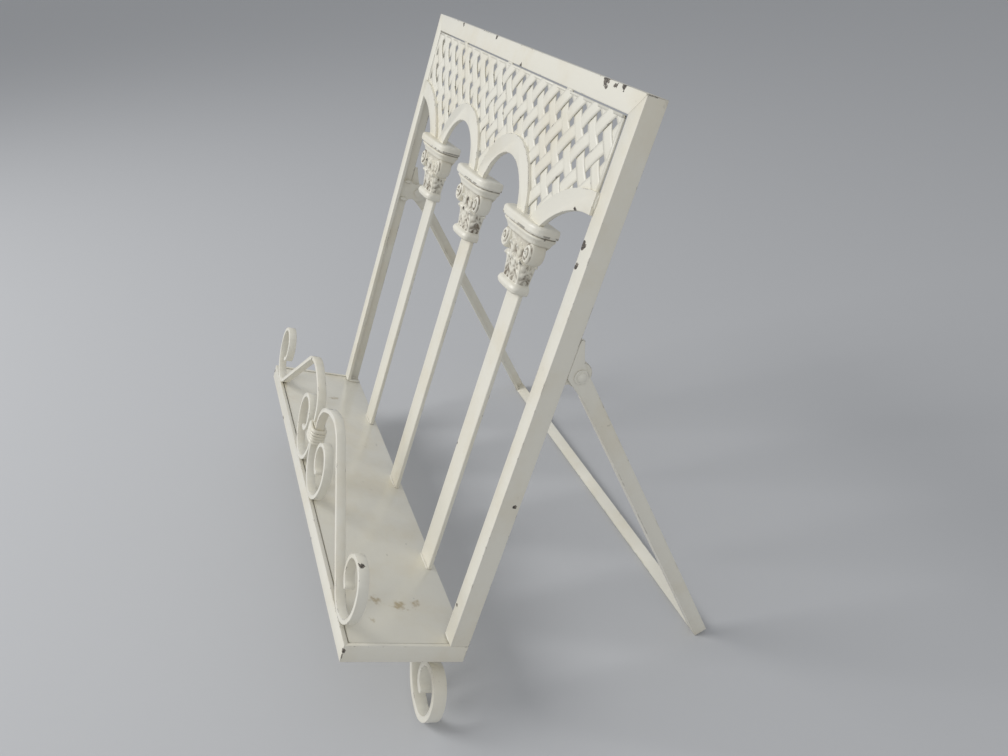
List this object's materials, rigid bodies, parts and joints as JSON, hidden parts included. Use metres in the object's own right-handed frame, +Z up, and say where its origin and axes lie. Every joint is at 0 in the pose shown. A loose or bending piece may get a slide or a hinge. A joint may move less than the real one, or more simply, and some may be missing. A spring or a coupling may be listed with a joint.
{
  "type": "table easel",
  "caption": "Table easel of welded iron: leaning frame with columns, arches and a lattice, a shelf with a scroll, and a folding strut behind.",
  "frame": {"origin": "bottom centre of the bounding box, on the table that the easel stands on", "axes": "+X to the easel's right as seen from the front, -Y out of the front, +Z up"},
  "size_m": [0.4192, 0.2558, 0.3833],
  "materials": {
    "frame": "gloss",
    "plate": "gloss",
    "ornament": "gloss",
    "lattice": "gloss",
    "strut": "gloss",
    "hinge": "gloss"
  },
  "bodies": {
    "frame": {"top_rail": "frame", "stile_left": "frame", "stile_right": "frame", "shelf_front_rail": "frame", "shelf_rail_left": "frame", "shelf_rail_right": "frame", "shelf_rear_bar": "frame", "shelf_plate": "plate", "column_left": "frame", "column_centre": "frame", "column_right": "frame", "capital_left": "ornament", "capital_centre": "ornament", "capital_right": "ornament", "half_arch_left": "lattice", "arch_left": "lattice", "arch_right": "lattice", "half_arch_right": "lattice", "lattice_panel": "lattice", "front_scroll_left": "ornament", "front_scroll_right": "ornament", "c_scroll_left": "ornament", "c_scroll_right": "ornament", "scroll_collar": "ornament", "foot_scroll_left": "ornament", "foot_scroll_right": "ornament", "hinge_bracket_left": "hinge", "hinge_bracket_right": "hinge", "hinge_washer_left": "hinge", "hinge_washer_right": "hinge", "hinge_rivet_left": "hinge", "hinge_rivet_right": "hinge"},
    "strut": {"strut_leg_left": "strut", "strut_leg_right": "strut", "strut_cross_bar": "strut"}
  },
  "joints": [
    {"name": "strut_fold", "type": "hinge", "parent": "frame", "child": "strut", "pos_m": [0, 0.03189, 0.23221], "axis": [-1, 0, 0], "range_deg": [0, 43]}
  ]
}
